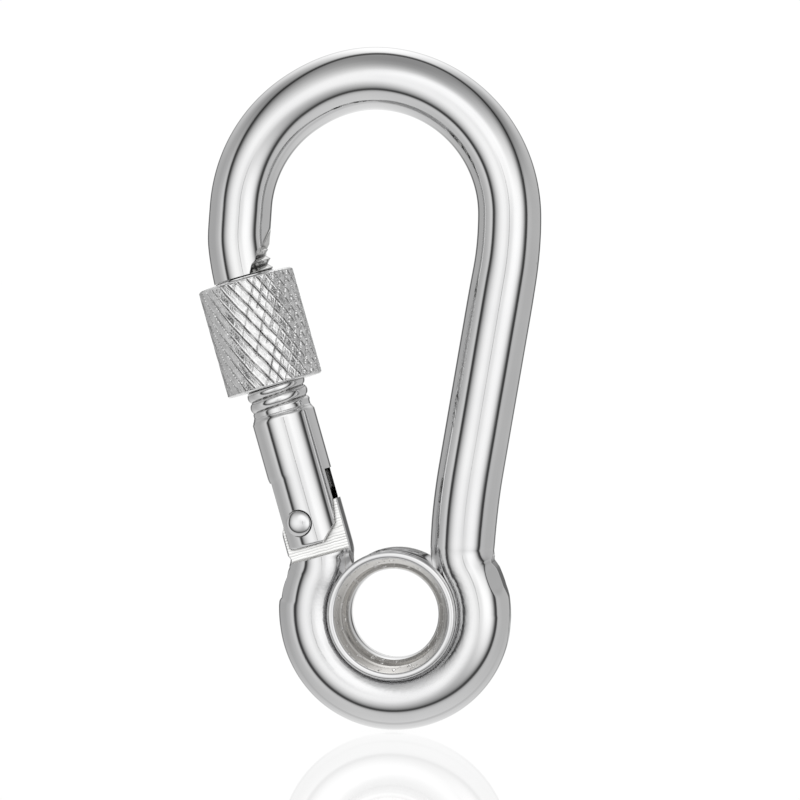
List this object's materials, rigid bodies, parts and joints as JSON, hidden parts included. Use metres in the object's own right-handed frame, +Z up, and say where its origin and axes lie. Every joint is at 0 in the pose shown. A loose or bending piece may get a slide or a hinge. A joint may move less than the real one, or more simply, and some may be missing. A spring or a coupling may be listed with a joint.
{
  "type": "snap hook",
  "caption": "Pear-shaped snap hook of polished round steel rod, with a sprung hinged gate, a knurled screw lock and a round eyelet in its bottom loop.",
  "frame": {"origin": "centre of the eyelet's hole, halfway along the hole", "axes": "+Z up the hook from the eyelet to the top bend, +Y along the eyelet's hole from front to back, +X from the gate towards the spine"},
  "size_m": [0.0305, 0.0086, 0.0602],
  "materials": {
    "polished_steel": "mirror-polished stainless steel",
    "knurled_steel": "satin, diamond knurled stainless steel",
    "inner_steel": "plain drawn and turned steel"
  },
  "bodies": {
    "hook": {"hook_body": "polished_steel", "eyelet": "polished_steel"},
    "gate_arm": {"gate": "polished_steel", "hinge_rivet": "polished_steel", "gate_spring": "inner_steel"},
    "sleeve": {"lock_sleeve": "knurled_steel"},
    "plunger": {"spring_plunger": "inner_steel"}
  },
  "joints": [
    {"name": "gate_hinge", "type": "hinge", "parent": "hook", "child": "gate_arm", "pos_m": [-0.00817, 0, 0.00801], "axis": [0, 1, 0], "range_deg": [0, 25], "stiffness_Nm_per_rad": 0.03, "springref_deg": -34.38},
    {"name": "sleeve_screw", "type": "slide", "parent": "gate_arm", "child": "sleeve", "axis": [-0.2756, 0, 0.9613], "range_m": [-0.0023, 0.0018]},
    {"name": "plunger_slide", "type": "slide", "parent": "gate_arm", "child": "plunger", "axis": [-0.2756, 0, 0.9613], "range_m": [0, 0.0004], "deforming": ["gate_spring"]}
  ],
  "couplings": [
    {"joint": "plunger_slide", "follows": "gate_hinge", "m_per_rad": 0.0008}
  ]
}
